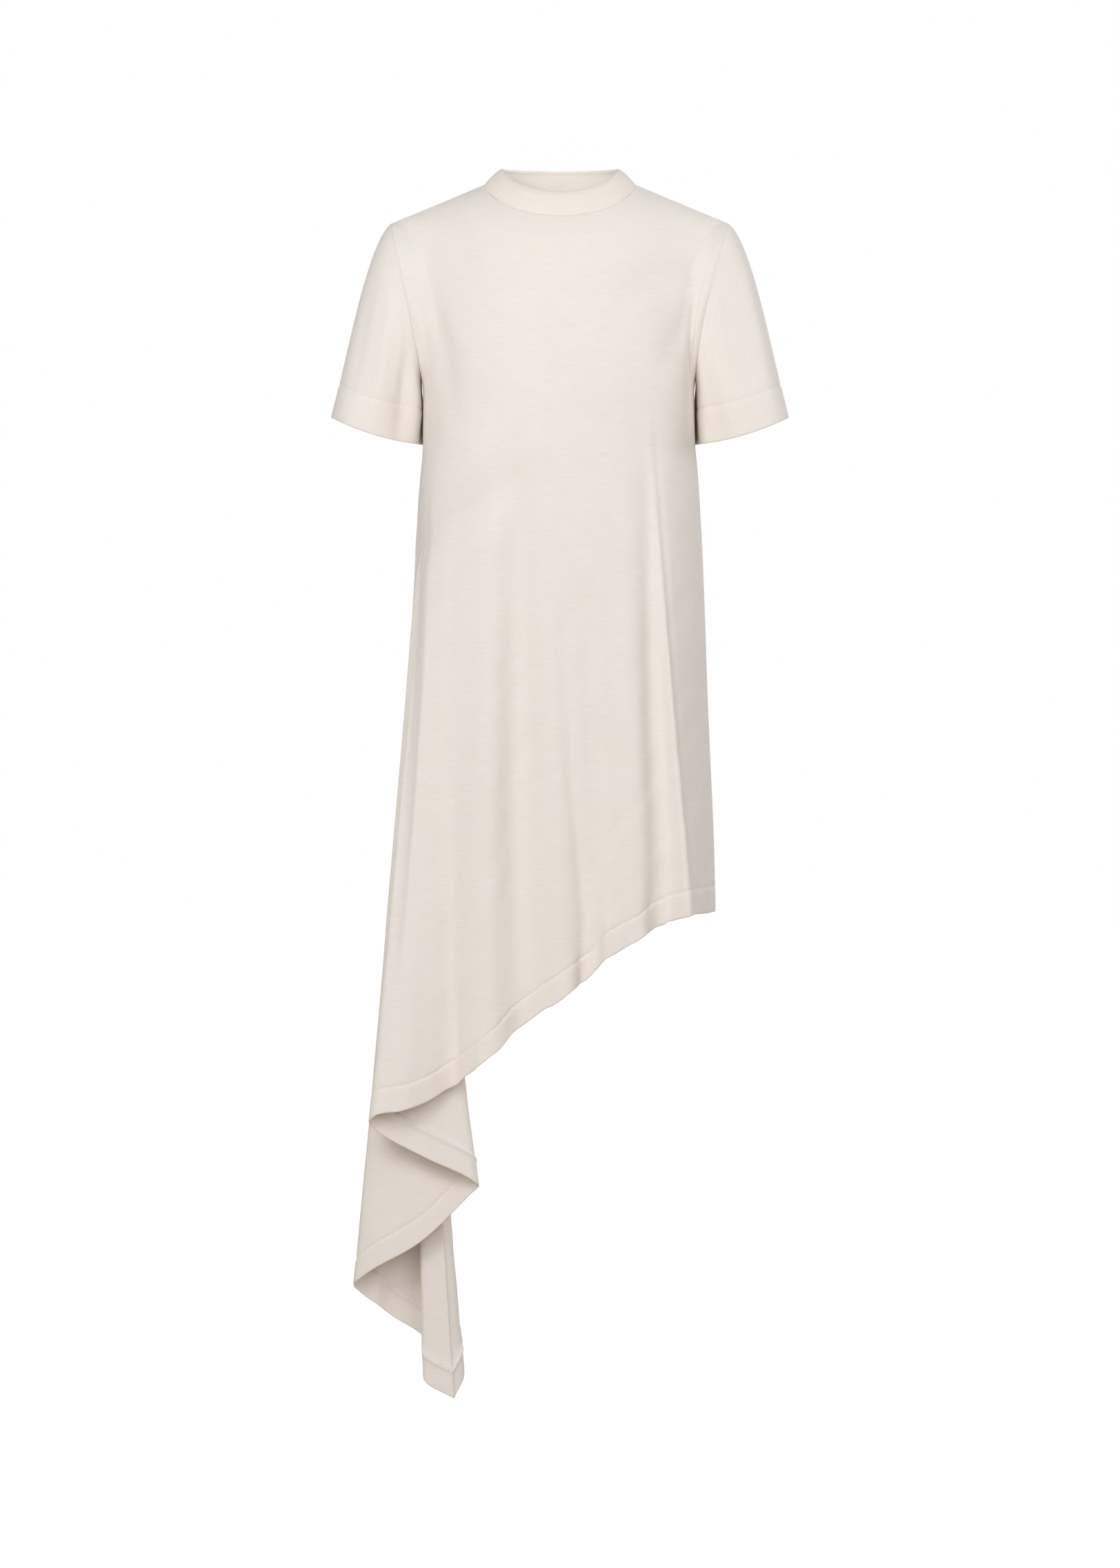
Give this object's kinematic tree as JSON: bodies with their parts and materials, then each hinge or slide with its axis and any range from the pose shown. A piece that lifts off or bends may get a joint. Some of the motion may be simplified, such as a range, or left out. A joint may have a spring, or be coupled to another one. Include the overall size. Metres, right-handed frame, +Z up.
{
  "type": "t-shirt dress",
  "caption": "Worn, hollow t-shirt dress in off-white jersey: round neckband, short set-in sleeves and a diagonal hem that falls in folds on the long side.",
  "frame": {"origin": "midway between the two neck points, at the height where the shoulders carry the dress", "axes": "+X towards the wearer's left, where the hem is short; -Y towards the front; +Z up"},
  "size_m": [0.5432, 0.2324, 1.4601],
  "materials": {
    "front_panel": "off-white slub cotton jersey, matte",
    "back_panel": "off-white slub cotton jersey, matte",
    "left_sleeve": "off-white slub cotton jersey, matte",
    "right_sleeve": "off-white slub cotton jersey, matte",
    "neckband": "off-white cotton jersey, folded double, matte"
  },
  "bodies": {
    "root": {"front_panel": "front_panel", "back_panel": "back_panel", "left_sleeve": "left_sleeve", "right_sleeve": "right_sleeve", "neckband": "neckband"}
  },
  "joints": []
}
